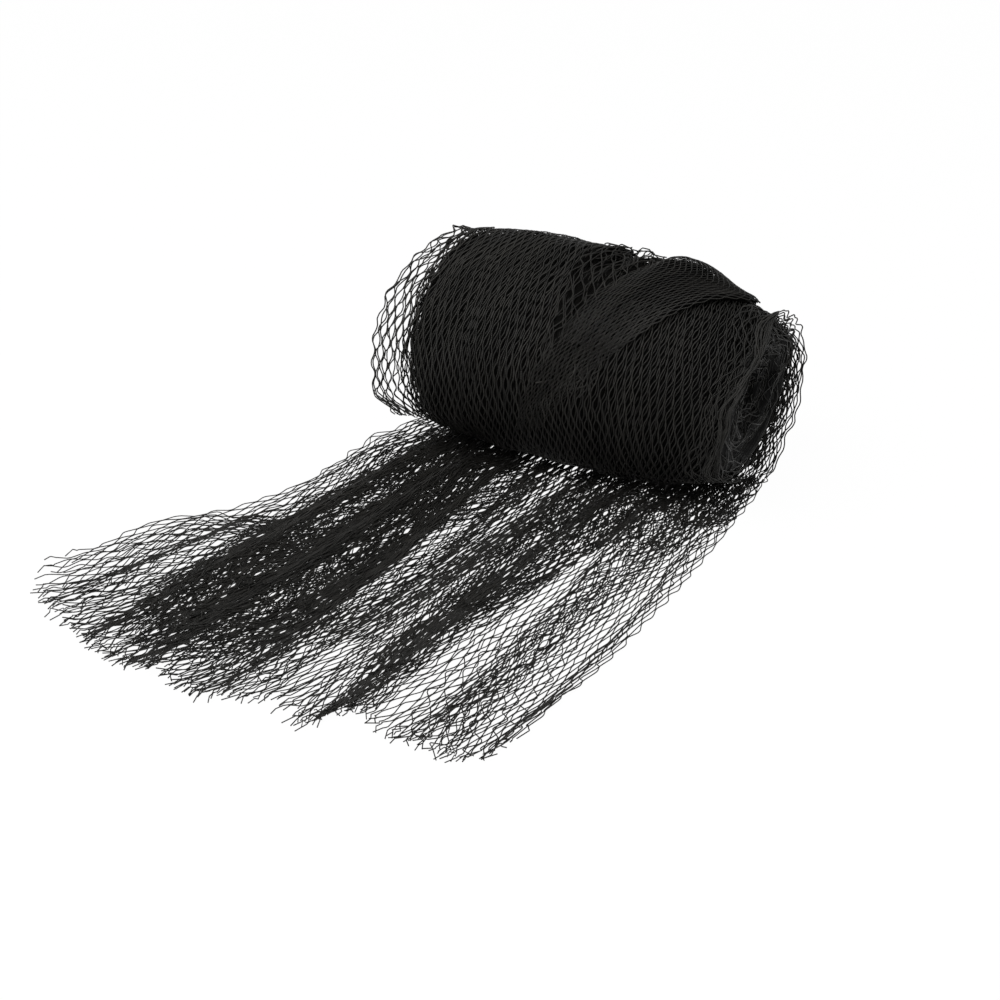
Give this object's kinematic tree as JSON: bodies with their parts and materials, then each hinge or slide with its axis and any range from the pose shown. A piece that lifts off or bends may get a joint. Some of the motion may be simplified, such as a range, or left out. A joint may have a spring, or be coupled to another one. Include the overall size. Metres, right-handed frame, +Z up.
{
  "type": "pond netting",
  "caption": "Black knitted pond netting, most of it in a soft barrel-shaped roll, its loose end gathered in folds, fanned out over the ground and cut ragged at the front.",
  "frame": {"origin": "on the ground, in the middle of the netting's outline", "axes": "+X along the roll, +Y to the back, so that the loose end runs towards -Y, +Z up"},
  "size_m": [0.36, 0.4338, 0.1452],
  "materials": {
    "netting": "black knitted polyethylene yarn, satin, slightly brown where it is thin"
  },
  "bodies": {
    "root": {"roll": "netting", "outer_turn": "netting", "loose_end": "netting"}
  },
  "joints": []
}
